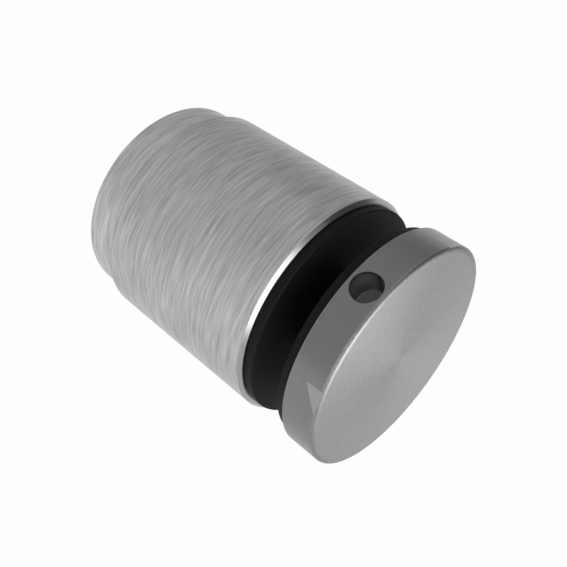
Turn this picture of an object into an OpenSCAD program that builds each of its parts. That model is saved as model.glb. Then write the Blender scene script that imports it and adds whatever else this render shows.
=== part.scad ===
// Adjustable standoff that clamps a glass panel off a wall.
// Modelled upright: heights are distances from the wall. mounted() then lays it on its side,
// so that the wall face is at Y = 0, the cap faces -Y and +Z is up.

/* [Outside] */
// Diameter of the sleeve and the cap
outer_d = 50; // [48:1:60]
// Length of the sleeve
sleeve_len = 41; // [39:1:60]
// Length of the base that shows behind the sleeve at mid travel
base_show = 9; // [7:0.5:14]
// Travel of the sleeve each way from mid travel
adjust = 5; // [3:0.5:5.5]

/* [Cap] */
// Thickness of the cap
cap_t = 7.6; // [7.2:0.2:12]
// Rounding of the cap's front edge
cap_round = 0.5; // [0.2:0.1:1]
// Chamfer of the cap's back edge
cap_back_chamfer = 0.3; // [0.1:0.1:0.8]
// Depth of the tapped hole in the cap's back
cap_tap_depth = 5; // [4:0.5:6]

/* [Cap's rim] */
// Diameter of the hole for the pin wrench
pin_hole_d = 6; // [4:0.5:6.5]
// Depth of that hole from the rim
pin_hole_depth = 6.6; // [4:0.2:9]
// Lean of that hole from the vertical, towards -X
pin_hole_lean = 19.25; // [0:0.25:90]
// Angle from the pin hole to each rim mark's wall
mark_turn = 45; // [30:1:90]
// Angle that a mark covers round the rim
mark_reach = 13; // [8:1:20]
// Length of a mark from the cap's front
mark_len = 3.8; // [2:0.2:6]
// Depth of a mark at its wall
mark_depth = 0.3; // [0.2:0.05:0.5]

/* [Glass and gaskets] */
// Thickness of the glass that the standoff is set for
glass_t = 6.9; // [4:0.1:12]
// Thickness of the gasket against the cap
cap_gasket_t = 2.2; // [1:0.1:3]
// Thickness of the gasket against the sleeve
body_gasket_t = 2; // [1:0.1:3]
// How far the gaskets lie inside the outer diameter
gasket_inset = 1.1; // [0.5:0.1:3]
// Rounding of the gaskets' edges
gasket_round = 0.3; // [0.1:0.05:0.4]
// Diameter of the bush that lines the hole in the glass
bush_d = 18; // [16:1:24]
// Chamfer of the bush's ends
bush_chamfer = 0.4; // [0.1:0.1:0.8]

/* [Stud] */
// Thread diameter of the stud
stud_d = 12; // [8:1:13]
// Play around the stud in the bush and the gaskets
stud_play = 0.25; // [0.15:0.05:0.5]
// Width across flats of the hexagon socket in the stud's end
stud_socket_w = 6; // [4:0.5:6]
// Depth of that socket
stud_socket_depth = 6; // [4:0.5:10]
// Chamfer of the stud's ends
stud_chamfer = 1; // [0.5:0.1:1.2]

/* [Sleeve] */
// Wall of the skirt that slides over the base
skirt_wall = 1.5; // [1.2:0.1:2]
// Thickness of the sleeve's front wall
front_wall = 8; // [6:0.5:10]
// Diameter of the boss behind the front wall
boss_d = 22; // [18:1:24]
// Length of that boss
boss_len = 6; // [2:0.5:8]
// Chamfer of the sleeve's front edge
sleeve_chamfer = 0.7; // [0.2:0.1:1.2]
// Chamfer of the sleeve's back edge
sleeve_back_chamfer = 0.3; // [0.1:0.1:0.6]

/* [Base] */
// Thread diameter of the base
spigot_d = 40; // [36:1:42]
// Diameter of the room for the wall bolt's head
head_room_d = 30; // [26:1:32]
// Thickness of the floor under the wall bolt's head
floor_t = 12; // [8:1:14]
// Diameter of the hole for the wall bolt
bolt_hole_d = 10.5; // [8.5:0.5:13]
// Chamfer of the bolt hole and of the base's edges
base_chamfer = 0.5; // [0.2:0.1:1]
// Width of the undercuts where the large threads end
undercut_w = 2; // [1:0.25:3]
// Depth of those undercuts
undercut_depth = 1; // [0.5:0.1:1.2]

/* [Lock screw] */
// Thread diameter of the lock screw
lock_d = 5; // [4:0.5:6]
// How far the lock screw's end lies below the sleeve's surface
lock_recess = 0.65; // [0.3:0.05:1]
// Width across flats of its hexagon socket
lock_socket_w = 2.5; // [1.5:0.5:3]
// Depth of that socket
lock_socket_depth = 2; // [1:0.25:2.5]

/* [Fits] */
// Radial clearance of the threads
thread_fit = 0.05; // [0.02:0.01:0.1]
// Radial clearance of the skirt over the base
slide_fit = 0.1; // [0.05:0.05:0.3]
// Length of the base that stays inside the skirt at full travel
skirt_lap = 2; // [1:0.5:3]
// Gap left at the stops, inside the sleeve
stop_gap = 0.5; // [0.3:0.1:1]
// Gap between the lock screw's tip and the base's thread
lock_gap = 0.3; // [0.1:0.05:0.5]

/* [Hidden] */
$fn = 96;

// a little more than a cut needs, so that it breaks through
over = 1;

outer_r = outer_d / 2;
spigot_r = spigot_d / 2;
head_room_r = head_room_d / 2;
bolt_hole_r = bolt_hole_d / 2;
boss_r = boss_d / 2;
stud_r = stud_d / 2;
gasket_r = outer_r - gasket_inset;
bush_r = bush_d / 2;
stud_hole_r = stud_r + stud_play;
tapped_r = stud_r + thread_fit;

// heights from the wall, with the sleeve at mid travel and the cap tight
sleeve_back = base_show;
sleeve_front = sleeve_back + sleeve_len;
glass_back = sleeve_front + body_gasket_t;
glass_front = glass_back + glass_t;
cap_back = glass_front + cap_gasket_t;
cap_front = cap_back + cap_t;

// the sleeve from inside: skirt, thread, undercut, front wall and boss
skirt_r = outer_r - skirt_wall;
collar_r = skirt_r - slide_fit;
collar_len = base_show + adjust + skirt_lap;
skirt_depth = collar_len - (base_show - adjust) + stop_gap;
thread_back = sleeve_back + skirt_depth;
nut_r = spigot_r + thread_fit;
nut_undercut_r = nut_r + undercut_depth;
wall_back = sleeve_front - front_wall;
boss_back = wall_back - boss_len;

// the base's thread ends just clear of the front wall when the sleeve is screwed right in
spigot_end = wall_back - adjust - stop_gap;

stud_back = boss_back;
stud_front = cap_back + cap_tap_depth;

// the lock screw sits over the base's thread at every position of the sleeve
lock_height = thread_back + lock_d / 2 + undercut_w;
lock_tip_r = nut_r + lock_gap;
lock_len = outer_r - lock_recess - lock_tip_r;

// lays the upright model on its side, with the cap facing -Y
module mounted() {
    rotate([90, 0, 0]) children();
}

// a disc's half section with both outer corners rounded
module rounded_section(inner_r, r, t, round) {
    difference() {
        union() {
            square([r - round, t]);
            translate([0, round]) square([r, t - 2 * round]);
            for (h = [round, t - round])
                translate([r - round, h]) circle(r = round);
        }
        translate([-over, -over]) square([inner_r + over, t + 2 * over]);
    }
}

// turned bar, drilled for the wall bolt, with the adjusting thread outside
module wall_base() {
    color("silver") mounted() rotate_extrude() polygon([
        [bolt_hole_r + base_chamfer, 0],
        [collar_r - base_chamfer, 0],
        [collar_r, base_chamfer],
        [collar_r, collar_len - base_chamfer],
        [collar_r - base_chamfer, collar_len],
        [spigot_r - undercut_depth, collar_len],
        [spigot_r - undercut_depth, collar_len + undercut_w - undercut_depth / 2],
        [spigot_r, collar_len + undercut_w + undercut_depth / 2],
        [spigot_r, spigot_end - undercut_depth],
        [spigot_r - undercut_depth, spigot_end],
        [head_room_r + base_chamfer, spigot_end],
        [head_room_r, spigot_end - base_chamfer],
        [head_room_r, floor_t],
        [bolt_hole_r, floor_t],
        [bolt_hole_r, base_chamfer]
    ]);
}

// turned from bar: an open skirt, the nut thread, a solid front wall and the tapped boss
module sleeve() {
    color("silver") mounted() difference() {
        rotate_extrude() polygon([
            [skirt_r, sleeve_back],
            [outer_r - sleeve_back_chamfer, sleeve_back],
            [outer_r, sleeve_back + sleeve_back_chamfer],
            [outer_r, sleeve_front - sleeve_chamfer],
            [outer_r - sleeve_chamfer, sleeve_front],
            [tapped_r, sleeve_front],
            [tapped_r, boss_back],
            [boss_r, boss_back],
            [boss_r, wall_back],
            [nut_undercut_r, wall_back],
            [nut_undercut_r, wall_back - undercut_w],
            [nut_r, wall_back - undercut_w - undercut_depth],
            [nut_r, thread_back + undercut_depth],
            [nut_r + undercut_depth, thread_back],
            [skirt_r, thread_back]
        ]);
        lock_axis() cylinder(r = lock_d / 2 + thread_fit, h = outer_r);
    }
}

// the lock screw's axis, out of the underside; its children lie along +Z from the standoff's axis
module lock_axis() {
    translate([0, 0, lock_height]) rotate([90, 0, 0]) children();
}

// grub screw with a flat point
module lock_screw() {
    tip_chamfer = lock_d / 10;
    color("dimgray") mounted() lock_axis() translate([0, 0, lock_tip_r]) difference() {
        rotate_extrude() polygon([
            [0, 0],
            [lock_d / 2 - tip_chamfer, 0],
            [lock_d / 2, tip_chamfer],
            [lock_d / 2, lock_len],
            [0, lock_len]
        ]);
        translate([0, 0, lock_len - lock_socket_depth])
            hexagon_socket(lock_socket_w, lock_socket_depth);
    }
}

// the prism that a hexagon key needs, open at its far end
module hexagon_socket(width, depth) {
    cylinder(d = width / cos(30), h = depth + over, $fn = 6);
}

module gasket(t) {
    rotate_extrude() rounded_section(stud_hole_r, gasket_r, t, gasket_round);
}

module body_gasket() {
    color([0.08, 0.08, 0.08]) mounted() translate([0, 0, sleeve_front]) gasket(body_gasket_t);
}

module cap_gasket() {
    color([0.08, 0.08, 0.08]) mounted() translate([0, 0, glass_front]) gasket(cap_gasket_t);
}

// keeps the stud off the edge of the hole in the glass
module glass_bush() {
    color([0.12, 0.12, 0.13]) mounted() translate([0, 0, glass_back]) rotate_extrude() polygon([
        [stud_hole_r, 0],
        [bush_r - bush_chamfer, 0],
        [bush_r, bush_chamfer],
        [bush_r, glass_t - bush_chamfer],
        [bush_r - bush_chamfer, glass_t],
        [stud_hole_r, glass_t]
    ]);
}

// threaded from end to end, bonded into the cap
module stud() {
    color("gray") mounted() difference() {
        rotate_extrude() polygon([
            [0, stud_back],
            [stud_r - stud_chamfer, stud_back],
            [stud_r, stud_back + stud_chamfer],
            [stud_r, stud_front - stud_chamfer],
            [stud_r - stud_chamfer, stud_front],
            [0, stud_front]
        ]);
        translate([0, 0, stud_back + stud_socket_depth]) mirror([0, 0, 1])
            hexagon_socket(stud_socket_w, stud_socket_depth);
    }
}

// a triangular mark in the rim: deepest at its radial wall in the cap's front, and running out
// to nothing round the rim and towards the cap's back. It leaves a surface as round as the rim,
// but turned and tilted about the deepest point.
module rim_mark() {
    deep_r = outer_r - mark_depth;
    end_x = outer_r * sin(mark_reach);
    end_y = outer_r * cos(mark_reach);
    chord = norm([end_x, deep_r - end_y]);
    turn = atan2(deep_r - end_y, end_x) - asin(chord / outer_d);
    tilt = atan2(mark_depth, mark_len);
    difference() {
        translate([-2 * end_x, outer_r / 2, cap_back + over])
            cube([2 * end_x, outer_r, cap_t]);
        translate([0, deep_r, cap_front])
            rotate([tilt, 0, turn])
            translate([0, -outer_r, -2 * cap_t])
            cylinder(r = outer_r, h = 4 * cap_t);
    }
}

// disc with a tapped blind hole behind; the pin hole and two marks are in its rim
module cap() {
    color("silver") mounted() difference() {
        translate([0, 0, cap_back]) rotate_extrude() difference() {
            union() {
                square([outer_r - cap_round, cap_t]);
                square([outer_r, cap_t - cap_round]);
                translate([outer_r - cap_round, cap_t - cap_round]) circle(r = cap_round);
            }
            polygon([
                [outer_r - cap_back_chamfer, 0],
                [outer_r + over, -over],
                [outer_r + over, cap_back_chamfer + over],
                [outer_r, cap_back_chamfer]
            ]);
        }
        translate([0, 0, cap_back - over])
            cylinder(r = tapped_r, h = cap_tap_depth + over);
        rotate([0, 0, pin_hole_lean]) {
            translate([0, outer_r - pin_hole_depth, cap_back + cap_t / 2])
                rotate([-90, 0, 0])
                cylinder(d = pin_hole_d, h = pin_hole_depth + over);
            for (side = [0, 1])
                mirror([side, 0, 0]) rotate([0, 0, mark_turn]) rim_mark();
        }
    }
}

wall_base();
sleeve();
lock_screw();
body_gasket();
glass_bush();
cap_gasket();
stud();
cap();
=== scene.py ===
import bmesh
import bpy
import math
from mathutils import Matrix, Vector


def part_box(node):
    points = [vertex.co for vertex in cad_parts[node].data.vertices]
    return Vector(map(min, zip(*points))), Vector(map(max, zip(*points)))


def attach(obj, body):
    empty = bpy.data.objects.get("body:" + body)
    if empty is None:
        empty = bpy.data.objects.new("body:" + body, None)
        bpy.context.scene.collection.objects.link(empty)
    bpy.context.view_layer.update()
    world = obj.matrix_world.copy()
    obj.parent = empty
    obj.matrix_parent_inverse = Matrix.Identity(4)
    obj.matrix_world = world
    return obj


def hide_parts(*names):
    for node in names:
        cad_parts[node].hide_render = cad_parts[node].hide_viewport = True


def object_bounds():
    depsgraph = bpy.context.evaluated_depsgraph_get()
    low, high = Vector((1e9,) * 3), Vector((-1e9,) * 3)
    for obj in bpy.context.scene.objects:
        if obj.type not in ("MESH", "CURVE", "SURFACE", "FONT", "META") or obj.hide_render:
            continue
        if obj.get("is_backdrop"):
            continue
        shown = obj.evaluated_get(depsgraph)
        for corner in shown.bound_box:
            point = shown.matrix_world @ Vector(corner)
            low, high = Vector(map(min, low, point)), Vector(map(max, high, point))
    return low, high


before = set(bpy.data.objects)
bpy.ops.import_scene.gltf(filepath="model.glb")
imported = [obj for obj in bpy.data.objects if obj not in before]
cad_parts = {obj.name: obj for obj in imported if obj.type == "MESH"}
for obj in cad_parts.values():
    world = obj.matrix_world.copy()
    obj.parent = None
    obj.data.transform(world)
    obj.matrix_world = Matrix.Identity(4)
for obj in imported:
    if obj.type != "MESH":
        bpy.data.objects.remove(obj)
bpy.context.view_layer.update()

# --- Sleeve -----------------------------------------------------------------------------------
# The large tube that slides over the base. Turned from stainless bar, then brushed on an abrasive
# belt while it spins, so the scratches run round it; its ends keep the marks of the lathe. It
# screws onto the base.

adjusting_pitch, stud_pitch = 0.0015, 0.00175
nut_radius, tapped_radius = 0.02005, 0.00605


def number_in(tree, name, default):
    """A named number that a node group takes in."""
    socket = tree.interface.new_socket(name, in_out="INPUT", socket_type="NodeSocketFloat")
    socket.default_value = default


def add(tree, kind, settings=None, **inputs):
    """A node; its inputs are numbers or other nodes' outputs, and _0, _1 go by position."""
    node = tree.nodes.new(kind)
    for name, value in (settings or {}).items():
        setattr(node, name, value)
    for name, value in inputs.items():
        by_place = name[0] == "_"
        socket = node.inputs[int(name[1:]) if by_place else name.replace("_", " ")]
        if isinstance(value, bpy.types.NodeSocket):
            tree.links.new(value, socket)
        else:
            socket.default_value = value
    return node


def maths(tree, operation, *values, clamp=False):
    """One step of arithmetic; returns its output."""
    numbers = {f"_{i}": value for i, value in enumerate(values)}
    settings = {"operation": operation, "use_clamp": clamp}
    return add(tree, "ShaderNodeMath", settings, **numbers).outputs[0]


def remap(tree, value, low, high, to_low=0.0, to_high=1.0, steps="LINEAR"):
    """Stretches a value from one span to another, held at its ends."""
    node = add(tree, "ShaderNodeMapRange", {"interpolation_type": steps}, Value=value,
               From_Min=low, From_Max=high, To_Min=to_low, To_Max=to_high)
    return node.outputs["Result"]


def split(tree, vector):
    """The three parts of a vector."""
    return add(tree, "ShaderNodeSeparateXYZ", Vector=vector).outputs


def distance(tree, aside, across):
    """How far a point lies from an axis, from its two offsets."""
    squares = [maths(tree, "MULTIPLY", offset, offset) for offset in (aside, across)]
    return maths(tree, "SQRT", maths(tree, "ADD", *squares))


def grain_group(name, inputs):
    """An empty shader node group for a grain, with a tone and a height as its outputs."""
    tree = bpy.data.node_groups.new(name, "ShaderNodeTree")
    for label, default in inputs.items():
        number_in(tree, label, default)
    for label in ("Tone", "Height"):
        tree.interface.new_socket(label, in_out="OUTPUT", socket_type="NodeSocketFloat")
    coords = tree.nodes.new("ShaderNodeTexCoord").outputs
    return tree, tree.nodes.new("NodeGroupInput").outputs, split(tree, coords["Object"]), coords


def stretched_noise(tree, place, length, width, seed):
    """Noise drawn out round the Y axis: length in X and Z, width along Y."""
    across = [maths(tree, "ADD", maths(tree, "DIVIDE", c, length), seed)
              for c in (place[0], place[2])]
    along = maths(tree, "DIVIDE", place[1], width)
    spot = add(tree, "ShaderNodeCombineXYZ", X=across[0], Y=along, Z=across[1])
    noise = add(tree, "ShaderNodeTexNoise", Vector=spot.outputs[0], Scale=1.0, Detail=2.0,
                Roughness=0.55)
    return noise.outputs["Fac"]


def build_belt_grain():
    """Scratches of a belt: long round the Y axis, fine along it, a little wavy. Longer and
    broader ones lie among them."""
    broad_length, broad_width, broad_seed, broad_share = 1.5, 3.5, 5.3, 0.2
    darkest, lightest = 0.32, 0.68
    tree, given, place, coords = grain_group("belt_grain", {
        "Scratch Length": 0.008, "Scratch Width": 0.0005, "Waviness": 0.0005})
    sway = add(tree, "ShaderNodeTexNoise", Vector=coords["Object"], Scale=110.0, Detail=1.0)
    each_way = maths(tree, "SUBTRACT", maths(tree, "MULTIPLY", sway.outputs["Fac"], 2.0), 1.0)
    drift = maths(tree, "MULTIPLY", each_way, given["Waviness"])
    wavy = (place[0], maths(tree, "ADD", place[1], drift), place[2])
    fine = stretched_noise(tree, wavy, given["Scratch Length"], given["Scratch Width"], 0.0)
    longer = maths(tree, "MULTIPLY", given["Scratch Length"], broad_length)
    broader = maths(tree, "MULTIPLY", given["Scratch Width"], broad_width)
    broad = stretched_noise(tree, wavy, longer, broader, broad_seed)
    both = maths(tree, "ADD", maths(tree, "MULTIPLY", fine, 1 - broad_share),
                 maths(tree, "MULTIPLY", broad, broad_share))
    add(tree, "NodeGroupOutput", Tone=remap(tree, both, darkest, lightest), Height=fine)
    return tree


def build_lathe_rings():
    """Marks on an end face: fine arcs about the Y axis, which stop at a rounded edge. The face has
    a slight crown, and beyond the edge's start it falls off ever faster, up to the edge's slope."""
    rounded_to, flat_from, darkest, lightest = 0.96, 0.995, 0.3, 0.7
    tree, given, place, coords = grain_group("lathe_rings", {
        "Ring Width": 0.0004, "Ring Length": 0.011, "Ring Height": 0.000003, "Crown": 0.0,
        "Edge Start": 0.025, "Edge Fall": 1000.0, "Edge Slope": 0.8})
    radius = distance(tree, place[0], place[2])
    side = [maths(tree, "DIVIDE", c, given["Ring Length"]) for c in (place[0], place[2])]
    spot = add(tree, "ShaderNodeCombineXYZ", X=side[0], Z=side[1],
               Y=maths(tree, "DIVIDE", radius, given["Ring Width"]))
    noise = add(tree, "ShaderNodeTexNoise", Vector=spot.outputs[0], Scale=1.0, Detail=2.0,
                Roughness=0.6).outputs["Fac"]
    facing = maths(tree, "ABSOLUTE", split(tree, coords["Normal"])["Y"])
    flat = remap(tree, facing, rounded_to, flat_from)
    marks = maths(tree, "MULTIPLY", maths(tree, "MULTIPLY", noise, given["Ring Height"]), flat)
    beyond = maths(tree, "MAXIMUM", maths(tree, "SUBTRACT", radius, given["Edge Start"]), 0.0)
    curved = maths(tree, "MINIMUM", beyond,
                   maths(tree, "DIVIDE", given["Edge Slope"], given["Edge Fall"]))
    half_curved = maths(tree, "MULTIPLY", maths(tree, "MULTIPLY", curved, curved), 0.5)
    edge = maths(tree, "MULTIPLY", given["Edge Fall"], maths(
        tree, "SUBTRACT", maths(tree, "MULTIPLY", beyond, curved), half_curved))
    crown = maths(tree, "MULTIPLY", maths(tree, "MULTIPLY", radius, radius),
                  maths(tree, "DIVIDE", given["Crown"], 2.0))
    height = maths(tree, "SUBTRACT", marks, maths(tree, "ADD", edge, crown))
    add(tree, "NodeGroupOutput", Tone=remap(tree, noise, darkest, lightest), Height=height)
    return tree


def build_turned_faces():
    """1 on faces that look along the Y axis, which the lathe cut, and on chamfers; 0 round it."""
    round_to, turned_from = 0.12, 0.25
    tree = bpy.data.node_groups.new("turned_faces", "ShaderNodeTree")
    tree.interface.new_socket("Mask", in_out="OUTPUT", socket_type="NodeSocketFloat")
    facing = split(tree, tree.nodes.new("ShaderNodeTexCoord").outputs["Normal"])["Y"]
    add(tree, "NodeGroupOutput",
        Mask=remap(tree, maths(tree, "ABSOLUTE", facing), round_to, turned_from))
    return tree


def build_cut_thread():
    """Ridges of a right-hand screw thread about Y, where the surface lies at one radius."""
    near, far, round_to, turned_from, depth_share = 0.00008, 0.00012, 0.2, 0.3, 0.6
    tree = bpy.data.node_groups.new("cut_thread", "ShaderNodeTree")
    for label in ("Place", "Facing"):
        tree.interface.new_socket(label, in_out="INPUT", socket_type="NodeSocketVector")
    for label, default in (("Pitch", 0.0015), ("Radius", 0.02)):
        number_in(tree, label, default)
    tree.interface.new_socket("Height", in_out="OUTPUT", socket_type="NodeSocketFloat")
    given = tree.nodes.new("NodeGroupInput").outputs
    place, facing = split(tree, given["Place"]), split(tree, given["Facing"])
    off = maths(tree, "SUBTRACT", distance(tree, place[0], place[2]), given["Radius"])
    here = maths(tree, "MULTIPLY", remap(tree, maths(tree, "ABSOLUTE", off), far, near),
                 remap(tree, maths(tree, "ABSOLUTE", facing[1]), turned_from, round_to))
    share = maths(tree, "DIVIDE", maths(tree, "ARCTAN2", place[0], place[2]), 2 * math.pi)
    turns = maths(tree, "SUBTRACT", maths(tree, "DIVIDE", place[1], given["Pitch"]), share)
    ridge = maths(tree, "ABSOLUTE", maths(tree, "SUBTRACT", maths(tree, "FRACT", turns), 0.5))
    depth = maths(tree, "MULTIPLY", given["Pitch"], 2 * depth_share)
    add(tree, "NodeGroupOutput",
        Height=maths(tree, "MULTIPLY", maths(tree, "MULTIPLY", ridge, depth), here))
    return tree


belt_grain = build_belt_grain()
lathe_rings = build_lathe_rings()
turned_faces = build_turned_faces()
thread_ridges = build_cut_thread()


def use(tree, group, **values):
    """Places a node group in a material with its own values."""
    node = tree.nodes.new("ShaderNodeGroup")
    node.node_tree = group
    for name, value in values.items():
        node.inputs[name.replace("_", " ")].default_value = value
    return node


def blend(tree, mask, first, second):
    """The first value where the mask is 0, the second where it is 1."""
    return add(tree, "ShaderNodeMix", Factor=mask, A=first, B=second).outputs["Result"]


def start_material(name):
    """A new material, its nodes and its shader."""
    material = bpy.data.materials.new(name)
    material.use_nodes = True
    return material, material.node_tree, material.node_tree.nodes["Principled BSDF"]


def colour_grey(tree, shader, shade):
    """Makes a shader's colour a grey that changes over the surface."""
    colour = add(tree, "ShaderNodeCombineColor", Red=shade, Green=shade, Blue=shade)
    tree.links.new(colour.outputs[0], shader.inputs["Base Color"])


def skin(grey, contrast, roughness, height=0.0, **values):
    """One kind of steel surface: its grey, how far the grain changes it, its roughness, the
    height of its scratches in metres, and its grain's other values."""
    return {"greys": (grey * (1 - contrast), grey * (1 + contrast)), "roughness": roughness,
            "height": height, "values": values}


def steel(name, sides, ends, anisotropy):
    """Stainless steel, with one skin round the axis and another on its turned ends."""
    material, tree, shader = start_material(name)
    shader.inputs["Metallic"].default_value = 1.0
    shader.inputs["Anisotropic"].default_value = anisotropy
    shader.inputs["Anisotropic Rotation"].default_value = 0.25
    round_axis = add(tree, "ShaderNodeTangent", {"direction_type": "RADIAL", "axis": "Y"})
    tree.links.new(round_axis.outputs[0], shader.inputs["Tangent"])
    mask = use(tree, turned_faces).outputs["Mask"]
    belt = use(tree, belt_grain, **sides["values"]).outputs
    lathe = use(tree, lathe_rings, **ends["values"]).outputs
    shades = [remap(tree, grain["Tone"], 0.0, 1.0, *its_skin["greys"])
              for grain, its_skin in ((belt, sides), (lathe, ends))]
    colour_grey(tree, shader, blend(tree, mask, *shades))
    tree.links.new(blend(tree, mask, sides["roughness"], ends["roughness"]),
                   shader.inputs["Roughness"])
    scratches = blend(tree, mask, maths(tree, "MULTIPLY", belt["Height"], sides["height"]), 0.0)
    bump = add(tree, "ShaderNodeBump", Strength=1.0, Distance=1.0,
               Height=maths(tree, "ADD", scratches, lathe["Height"]))
    tree.links.new(bump.outputs[0], shader.inputs["Normal"])
    return material


def cut_thread(material, pitch, radius, place=None, facing=None):
    """Draws a thread on a piece's wall or bore; the real ridges there are hidden when it is
    together, so they are left to the shading. Place and facing are given for another axis."""
    tree = material.node_tree
    coords = tree.nodes.new("ShaderNodeTexCoord").outputs
    ridges = use(tree, thread_ridges, Pitch=pitch, Radius=radius)
    tree.links.new(place or coords["Object"], ridges.inputs["Place"])
    tree.links.new(facing or coords["Normal"], ridges.inputs["Facing"])
    height = tree.nodes["Bump"].inputs["Height"]
    before = height.links[0].from_socket
    tree.links.new(maths(tree, "ADD", before, ridges.outputs["Height"]), height)


def dress(node, material):
    """Gives one CAD piece its finish."""
    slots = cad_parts[node].data.materials
    slots.clear()
    slots.append(material)


turned = skin(grey=0.32, contrast=0.06, roughness=0.28)
sleeve_skin = skin(grey=0.45, contrast=0.25, roughness=0.45, height=0.00001)
sleeve_steel = steel("brushed_sleeve", sleeve_skin, turned, anisotropy=0.6)
cut_thread(sleeve_steel, adjusting_pitch, nut_radius)
cut_thread(sleeve_steel, stud_pitch, tapped_radius)
dress("sleeve", sleeve_steel)

# --- Wall base --------------------------------------------------------------------------------
# The inner piece that is bolted to the wall, turned from the same stainless bar as the sleeve and
# brushed like it where it shows. The sleeve screws onto its thread.

spigot_radius = 0.02
base_skin = skin(grey=0.5, contrast=0.25, roughness=0.45, height=0.00001)
base_steel = steel("brushed_base", base_skin, turned, anisotropy=0.6)
cut_thread(base_steel, adjusting_pitch, spigot_radius)
dress("wall_base", base_steel)

# --- Lock screw -------------------------------------------------------------------------------
# Small grub screw in the sleeve's underside, of plain bright stainless. It is screwed in with a
# hexagon key until it holds the sleeve on the base.

screw_pitch, screw_radius, screw_y = 0.0008, 0.0025, -0.026
bright = skin(grey=0.35, contrast=0.05, roughness=0.3)
screw_steel = steel("bright_screw", bright, turned, anisotropy=0.0)
tree = screw_steel.node_tree
coords = tree.nodes.new("ShaderNodeTexCoord").outputs
# Its axis stands upright, so the thread gets a place and a facing that are laid on their side.
laid_down = []
for source, middle_y in (("Object", screw_y), ("Normal", 0.0)):
    upright = split(tree, coords[source])
    laid_down.append(add(tree, "ShaderNodeCombineXYZ", X=upright["X"], Y=upright["Z"],
                         Z=maths(tree, "SUBTRACT", middle_y, upright["Y"])).outputs[0])
cut_thread(screw_steel, screw_pitch, screw_radius, *laid_down)
dress("lock_screw", screw_steel)

# --- Gaskets ----------------------------------------------------------------------------------
# Two flat rings punched from black rubber sheet, with a fine matt skin. They keep the steel off
# the glass; one is bonded to the sleeve's front and the other to the back of the cap.


def black_polymer(name, grey, roughness, specular):
    """Rubber or nylon: nearly black, with a faint bloom and a fine skin."""
    darkest, lightest, change = 0.3, 0.7, 0.3
    material, tree, shader = start_material(name)
    shader.inputs["Roughness"].default_value = roughness
    shader.inputs["Specular IOR Level"].default_value = specular
    place = tree.nodes.new("ShaderNodeTexCoord").outputs["Object"]
    bloom = add(tree, "ShaderNodeTexNoise", Vector=place, Scale=180.0, Detail=3.0, Roughness=0.6)
    colour_grey(tree, shader, remap(tree, bloom.outputs["Fac"], darkest, lightest,
                                    grey * (1 - change), grey * (1 + change)))
    grains = add(tree, "ShaderNodeTexNoise", Vector=place, Scale=2600.0, Detail=2.0)
    bump = add(tree, "ShaderNodeBump", Strength=0.3, Distance=0.00002, Height=grains.outputs["Fac"])
    tree.links.new(bump.outputs[0], shader.inputs["Normal"])
    return material


rubber = black_polymer("black_rubber", grey=0.005, roughness=0.6, specular=0.13)
for ring in ("body_gasket", "cap_gasket"):
    dress(ring, rubber)

# --- Glass bush -------------------------------------------------------------------------------
# Ring of black nylon, turned from bar, that lines the hole in the glass. It sits on the stud
# between the two gaskets.

dress("glass_bush", black_polymer("black_nylon", grey=0.008, roughness=0.45, specular=0.3))

# --- Stud -------------------------------------------------------------------------------------
# M12 threaded rod of bright stainless with a rolled coarse thread, chamfered at both ends and
# with a hexagon socket in its inner end. It is bonded into the cap and screws into the sleeve.


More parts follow.
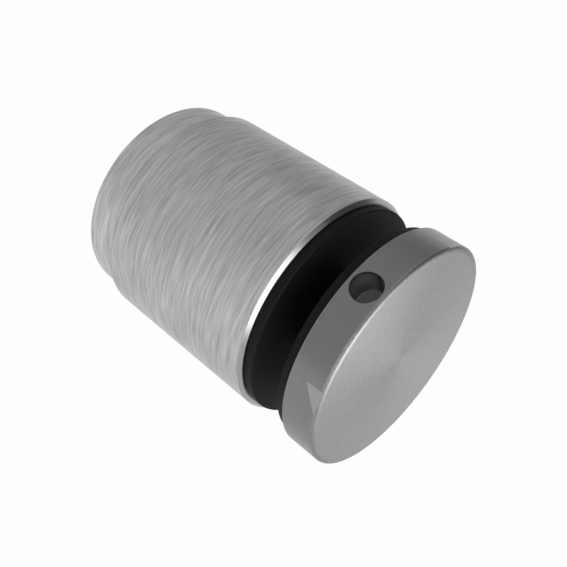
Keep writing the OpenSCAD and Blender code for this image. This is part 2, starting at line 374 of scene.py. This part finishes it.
def build_rolled_thread():
    """A right-hand thread along Y: a sheared grid wound on the helix, so that each of its rows
    keeps its place on the thread's profile. Its ends are left open."""
    rows_a_turn, crest_to, root_from, doubles = 16.0, 1 / 16, 6 / 16, 0.00001
    tree = bpy.data.node_groups.new("rolled_thread", "GeometryNodeTree")
    tree.interface.new_socket("Geometry", in_out="INPUT", socket_type="NodeSocketGeometry")
    for name, default in (("Pitch", 0.00175), ("Crest Radius", 0.006), ("Root Radius", 0.0049),
                          ("End Radius", 0.005), ("Length", 0.03), ("Start", 0.0)):
        number_in(tree, name, default)
    for name, default in (("Segments", 72), ("Turns", 19)):
        socket = tree.interface.new_socket(name, in_out="INPUT", socket_type="NodeSocketInt")
        socket.default_value = default
    tree.interface.new_socket("Material", in_out="INPUT", socket_type="NodeSocketMaterial")
    tree.interface.new_socket("Geometry", in_out="OUTPUT", socket_type="NodeSocketGeometry")
    given = tree.nodes.new("NodeGroupInput").outputs
    rows = maths(tree, "ADD", maths(tree, "MULTIPLY", given["Turns"], rows_a_turn), 1.0)
    grid = add(tree, "GeometryNodeMeshGrid", Size_X=1.0, Size_Y=1.0, Vertices_Y=rows,
               Vertices_X=maths(tree, "ADD", given["Segments"], 1.0))
    flat = split(tree, tree.nodes.new("GeometryNodeInputPosition").outputs[0])
    round_share = maths(tree, "ADD", flat["X"], 0.5)
    turn_count = maths(tree, "MULTIPLY", maths(tree, "ADD", flat["Y"], 0.5), given["Turns"])
    raw = maths(tree, "MULTIPLY", given["Pitch"],
                maths(tree, "SUBTRACT", maths(tree, "ADD", turn_count, round_share), 1.0))
    along = maths(tree, "MINIMUM", maths(tree, "MAXIMUM", raw, 0.0), given["Length"])
    off_crest = maths(tree, "ABSOLUTE", maths(tree, "SUBTRACT", maths(
        tree, "FRACT", maths(tree, "ADD", turn_count, 0.5)), 0.5))
    profile = remap(tree, off_crest, crest_to, root_from, given["Crest Radius"],
                    given["Root Radius"])
    to_end = maths(tree, "MINIMUM", along, maths(tree, "SUBTRACT", given["Length"], along))
    radius = maths(tree, "MINIMUM", profile, maths(tree, "ADD", given["End Radius"], to_end))
    angle = maths(tree, "MULTIPLY", round_share, 2 * math.pi)
    wound = add(tree, "ShaderNodeCombineXYZ",
                X=maths(tree, "MULTIPLY", radius, maths(tree, "SINE", angle)),
                Y=maths(tree, "ADD", along, given["Start"]),
                Z=maths(tree, "MULTIPLY", radius, maths(tree, "COSINE", angle)))
    placed = add(tree, "GeometryNodeSetPosition", Geometry=grid.outputs["Mesh"],
                 Position=wound.outputs[0])
    closed = add(tree, "GeometryNodeMergeByDistance", Geometry=placed.outputs[0],
                 Distance=doubles)
    real = add(tree, "GeometryNodeRealizeInstances", Geometry=closed.outputs[0])
    coated = add(tree, "GeometryNodeSetMaterial", Geometry=real.outputs[0],
                 Material=given["Material"])
    add(tree, "NodeGroupOutput", Geometry=coated.outputs[0])
    return tree


def grow(name, tree, **values):
    """The plain mesh that a Geometry Nodes tree makes with these inputs, as a new object."""
    holder = bpy.data.objects.new(name, bpy.data.meshes.new(name + "_start"))
    bpy.context.scene.collection.objects.link(holder)
    modifier = holder.modifiers.new("form", "NODES")
    modifier.node_group = tree
    for item in tree.interface.items_tree:
        if item.in_out == "INPUT" and item.name in values:
            modifier[item.identifier] = values[item.name]
    depsgraph = bpy.context.evaluated_depsgraph_get()
    mesh = bpy.data.meshes.new_from_object(holder.evaluated_get(depsgraph), depsgraph=depsgraph)
    holder.modifiers.clear()
    holder.data = mesh
    mesh.materials.clear()
    mesh.materials.append(values["Material"])
    mesh.polygons.foreach_set("material_index", [0] * len(mesh.polygons))
    return holder


def ring_at(mesh, level, reach=0.00001):
    """The open edges of a mesh at one place along Y."""
    return [edge for edge in mesh.edges
            if edge.is_boundary and all(abs(v.co.y - level) < reach for v in edge.verts)]


stud_steel = steel("bright_stud", bright, turned, anisotropy=0.0)
stud_low, stud_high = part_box("stud")
stud_radius, stud_length = (stud_high.z - stud_low.z) / 2, stud_high.y - stud_low.y
thread_depth, end_depth = 0.00107, 0.00112
# One turn more than the rod has, as the helix is cut square at both ends.
turns = math.ceil(stud_length / stud_pitch) + 1
stud = grow("stud_thread", build_rolled_thread(), **{
    "Pitch": stud_pitch, "Crest Radius": stud_radius, "Root Radius": stud_radius - thread_depth,
    "End Radius": stud_radius - end_depth, "Length": stud_length, "Start": stud_low.y,
    "Segments": 72, "Turns": turns, "Material": stud_steel})
shape = bmesh.new()
shape.from_mesh(stud.data)
bmesh.ops.edgeloop_fill(shape, edges=ring_at(shape, stud_low.y))
# The hexagon socket, with its rim let into the rod's end.
socket_width, socket_depth, sharp_from = 0.006, 0.006, math.radians(25.0)
socket_radius = socket_width / math.sqrt(3)
corners = [shape.verts.new((socket_radius * math.sin(math.radians(60 * i)), stud_high.y,
                            socket_radius * math.cos(math.radians(60 * i)))) for i in range(6)]
rim = [shape.edges.new((corners[i], corners[(i + 1) % 6])) for i in range(6)]
bmesh.ops.triangle_fill(shape, use_beauty=True, use_dissolve=False,
                        edges=ring_at(shape, stud_high.y) + rim)
deep = [shape.verts.new(v.co - Vector((0.0, socket_depth, 0.0))) for v in corners]
for i in range(6):
    shape.faces.new((corners[i], corners[(i + 1) % 6], deep[(i + 1) % 6], deep[i]))
shape.faces.new(deep)
bmesh.ops.recalc_face_normals(shape, faces=shape.faces)
for face in shape.faces:
    face.smooth = True
shape.to_mesh(stud.data)
shape.free()
stud.data.set_sharp_from_angle(angle=sharp_from)
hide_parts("stud")
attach(stud, "cap")

# --- Cap --------------------------------------------------------------------------------------
# Stainless disc that clamps the glass, turned from bar and bonded to the stud. Its face is
# finely sanded in short arcs about its middle, and its rim is left smooth and satin.

satin = skin(grey=0.215, contrast=0.03, roughness=0.33, Scratch_Width=0.0004)
faced = skin(grey=0.292, contrast=0.12, roughness=0.48, Ring_Length=0.0006,
             Ring_Height=0.0000018, Crown=8.0, Edge_Start=0.0235, Edge_Fall=900.0, Edge_Slope=1.0)
cap_steel = steel("satin_cap", satin, faced, anisotropy=0.35)
cut_thread(cap_steel, stud_pitch, tapped_radius)
tree = cap_steel.node_tree
tree.nodes["Principled BSDF"].inputs["Specular Tint"].default_value = (0.9, 0.9, 0.9, 1.0)
dress("cap", cap_steel)


def patch(material, mask, tone, roughness):
    """Gives part of a piece another tone, as a share of its own, and another roughness."""
    tree = material.node_tree
    inputs = tree.nodes["Principled BSDF"].inputs
    colour, rough = (inputs[name].links[0].from_socket for name in ("Base Color", "Roughness"))
    toned = add(tree, "ShaderNodeVectorMath", {"operation": "SCALE"}, _0=colour,
                Scale=blend(tree, mask, 1.0, tone))
    tree.links.new(toned.outputs["Vector"], inputs["Base Color"])
    tree.links.new(blend(tree, mask, rough, roughness), inputs["Roughness"])


# The drilled hole for the pin wrench is dull. Its colour holds painted shade and light: the wall is
# painted darkest at the mouth and lighter with depth, and its flat bottom is painted brighter
# still.
lean, hole_y, hole_radius, hole_depth = math.radians(19.25), -0.0649, 0.003, 0.0066
cap_radius, mouth_painted_shade, deep_painted_light, bottom_painted_light, hole_roughness = 0.025, 0.08, 1.15, 3.0, 0.9
coords = tree.nodes.new("ShaderNodeTexCoord").outputs
spot = split(tree, coords["Object"])
inward = maths(tree, "SUBTRACT", maths(tree, "MULTIPLY", spot["Z"], math.cos(lean)),
               maths(tree, "MULTIPLY", spot["X"], math.sin(lean)))
aside = maths(tree, "ADD", maths(tree, "MULTIPLY", spot["X"], math.cos(lean)),
              maths(tree, "MULTIPLY", spot["Z"], math.sin(lean)))
forward = maths(tree, "SUBTRACT", spot["Y"], hole_y)
from_axis = distance(tree, aside, forward)
bottom_at, near, far = cap_radius - hole_depth, 0.00004, 0.0001
inside = remap(tree, from_axis, hole_radius + far, hole_radius + near)
this_side = remap(tree, inward, 0.0, 0.001)
bore = maths(tree, "MULTIPLY", inside, this_side)
bottom = maths(tree, "MULTIPLY", bore, remap(tree, inward, bottom_at + 2 * far, bottom_at + far))
# Painted shade and light: the wall's colour runs from very dark at the mouth to a little above the
# steel's own tone at depth, and the bottom is painted at three times that tone.
wall_painted_shading = remap(tree, inward, cap_radius, bottom_at, mouth_painted_shade, deep_painted_light)
patch(cap_steel, bore, blend(tree, bottom, wall_painted_shading, bottom_painted_light), hole_roughness)
bump_height = tree.nodes["Bump"].inputs["Height"]
outside_bore = maths(tree, "SUBTRACT", 1.0, bore)
tree.links.new(maths(tree, "MULTIPLY", bump_height.links[0].from_socket, outside_bore), bump_height)

# The two marks are milled afterwards, and their colour is a painted highlight, lighter than the
# rim's. They are known by the way they face, which is tilted off the rim by their depth over their
# length.
mark_depth, mark_length, mark_painted_highlight, mark_roughness = 0.0003, 0.0038, 1.5, 0.4
facing = split(tree, coords["Normal"])["Y"]
tilt = math.sin(math.atan2(mark_depth, mark_length))
off_tilt, near, far = maths(tree, "ABSOLUTE", maths(tree, "ADD", facing, tilt)), 0.01, 0.015
mark = maths(tree, "MULTIPLY", remap(tree, off_tilt, far, near), outside_bore)
# Painted highlight: the marks' colour is made half as light again as the rim's.
patch(cap_steel, mark, mark_painted_highlight, mark_roughness)

# --- Floor, light and camera ------------------------------------------------------------------
# A pale studio. A plain white floor lies well below the part, large soft lamps stand before it,
# and the background is white.

scene = bpy.context.scene
scene.view_settings.view_transform = "Standard"
low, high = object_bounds()
middle = (low + high) / 2

floor_half, floor_drop = 6.0, 0.25
floor_mesh = bpy.data.meshes.new("floor")
floor_mesh.from_pydata([(x * floor_half, y * floor_half, low.z - floor_drop)
                        for x, y in ((-1, -1), (1, -1), (1, 1), (-1, 1))], [], [(0, 1, 2, 3)])
floor = bpy.data.objects.new("floor", floor_mesh)
scene.collection.objects.link(floor)
floor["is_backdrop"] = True


def seen_directly(tree):
    """1 for rays that show a background: from the camera, off metal or through glass."""
    path = tree.nodes.new("ShaderNodeLightPath").outputs
    return maths(tree, "ADD", path["Is Camera Ray"],
                 maths(tree, "ADD", path["Is Glossy Ray"], path["Is Transmission Ray"]), clamp=True)


# The floor shows white, and a little of its matt paint keeps the shadow.
floor_grey, white_share = 0.8, 0.97
paint, tree, shader = start_material("pale_floor")
tree.nodes.remove(shader)
matt = add(tree, "ShaderNodeBsdfDiffuse", Color=(floor_grey, floor_grey, floor_grey, 1.0))
white = add(tree, "ShaderNodeEmission", Strength=1.0)
shown = maths(tree, "MULTIPLY", seen_directly(tree), white_share)
mixed = add(tree, "ShaderNodeMixShader", Fac=shown, _1=matt.outputs[0], _2=white.outputs[0])
tree.links.new(mixed.outputs[0], tree.nodes["Material Output"].inputs["Surface"])
floor_mesh.materials.append(paint)


def toward(turn, height):
    """A direction from the part: turn 0 leads away before the cap and 90 to its -X side."""
    turn, height = math.radians(turn), math.radians(height)
    return Vector((-math.sin(turn) * math.cos(height), -math.cos(turn) * math.cos(height),
                   math.sin(height)))


world = bpy.data.worlds.new("studio")
scene.world = world
world.use_nodes = True
tree = world.node_tree
way = tree.nodes.new("ShaderNodeTexCoord").outputs["Generated"]
part_of_way = split(tree, way)
# The room is a little brighter behind the part.
level_before, level_behind, before_to, behind_from = 0.62, 0.77, 0.3, 0.9
level = remap(tree, part_of_way["Y"], before_to, behind_from, level_before, level_behind,
              steps="SMOOTHSTEP")
# A dark flag stands before the part on its +X side.
flag_way, flag_edge, flag_core, flag_level = toward(-58.0, 21.0), 0.5, 0.9, 0.15
near_flag = add(tree, "ShaderNodeVectorMath", {"operation": "DOT_PRODUCT"}, _0=way,
                _1=flag_way).outputs["Value"]
flag = remap(tree, near_flag, flag_edge, flag_core, 1.0, flag_level, steps="SMOOTHSTEP")
sky = tree.nodes["Background"]
sky.inputs["Color"].default_value = (1.0, 1.0, 1.0, 1.0)
tree.links.new(maths(tree, "MULTIPLY", level, flag), sky.inputs["Strength"])
# The white backdrop shows all round, and in the steel as far up as it reaches.
backdrop_top = 0.15
backdrop = add(tree, "ShaderNodeBackground", Color=(1.0, 1.0, 1.0, 1.0), Strength=1.0)
low_down = remap(tree, part_of_way["Z"], 0.0, backdrop_top, 1.0, 0.0, steps="SMOOTHSTEP")
path = tree.nodes.new("ShaderNodeLightPath").outputs
mirrored = maths(tree, "MULTIPLY", path["Is Glossy Ray"], maths(tree, "MULTIPLY", low_down, flag))
shown = maths(tree, "ADD", maths(tree, "ADD", path["Is Camera Ray"], path["Is Transmission Ray"]),
              mirrored, clamp=True)
mixed = add(tree, "ShaderNodeMixShader", Fac=shown, _1=sky.outputs[0], _2=backdrop.outputs[0])
tree.links.new(mixed.outputs[0], tree.nodes["World Output"].inputs["Surface"])


def lamp(name, turn, height, size, power, away=0.8):
    """A round soft lamp aimed at the part, in degrees, metres and watts."""
    data = bpy.data.lights.new(name, "AREA")
    data.shape = "DISK"
    data.size = size
    data.energy = power
    holder = bpy.data.objects.new(name, data)
    scene.collection.objects.link(holder)
    direction = toward(turn, height)
    holder.location = middle + direction * away
    holder.rotation_euler = (-direction).to_track_quat("-Z", "Y").to_euler()


lamp("front_lamp", turn=17.0, height=7.0, size=0.95, power=7.2)
lamp("low_lamp", turn=-22.0, height=-11.0, size=0.5, power=1.1)
lamp("left_lamp", turn=62.0, height=18.0, size=0.6, power=1.3)
lamp("high_lamp", turn=-20.0, height=30.0, size=0.35, power=0.12)

camera = bpy.data.cameras.new("camera")
camera.lens = 47.89
camera.sensor_width = 36.0
eye = bpy.data.objects.new("camera", camera)
scene.collection.objects.link(eye)
scene.camera = eye
eye.location = (-0.08089, low.y - 0.04819, 0.11542)
eye.rotation_euler = (math.radians(44.123), 0.0, math.radians(-45.38))

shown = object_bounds()
